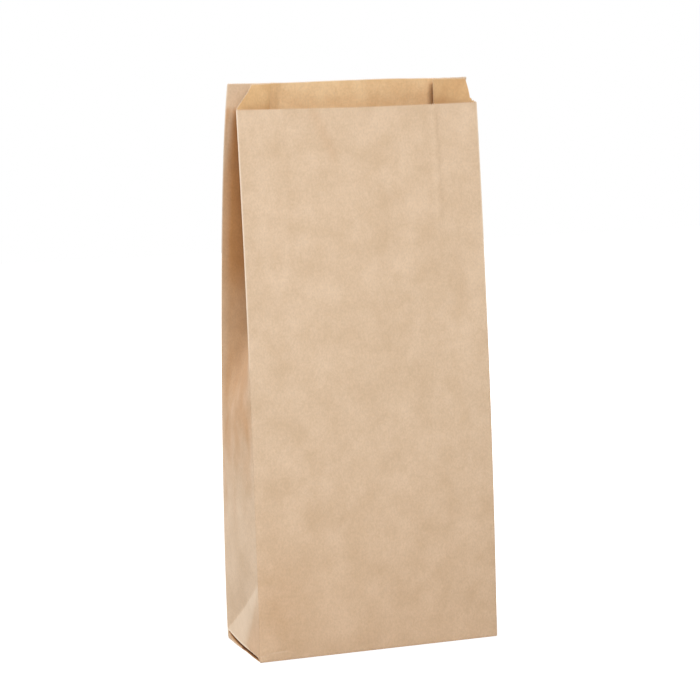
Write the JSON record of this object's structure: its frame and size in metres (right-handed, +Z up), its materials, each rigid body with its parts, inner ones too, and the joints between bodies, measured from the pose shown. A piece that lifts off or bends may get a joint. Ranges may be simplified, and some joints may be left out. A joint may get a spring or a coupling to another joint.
{
  "type": "kraft paper bag",
  "caption": "Open kraft paper bag with a folded block bottom, gusseted sides and a back panel that ends higher as a lip.",
  "frame": {"origin": "middle of the base, on the surface that the bag stands on", "axes": "+X to the right seen from the front panel, +Y towards the back panel, +Z up to the mouth"},
  "size_m": [0.1436, 0.0594, 0.306],
  "materials": {
    "kraft": "matte"
  },
  "bodies": {
    "root": {"paper_bag": "kraft"}
  },
  "joints": []
}
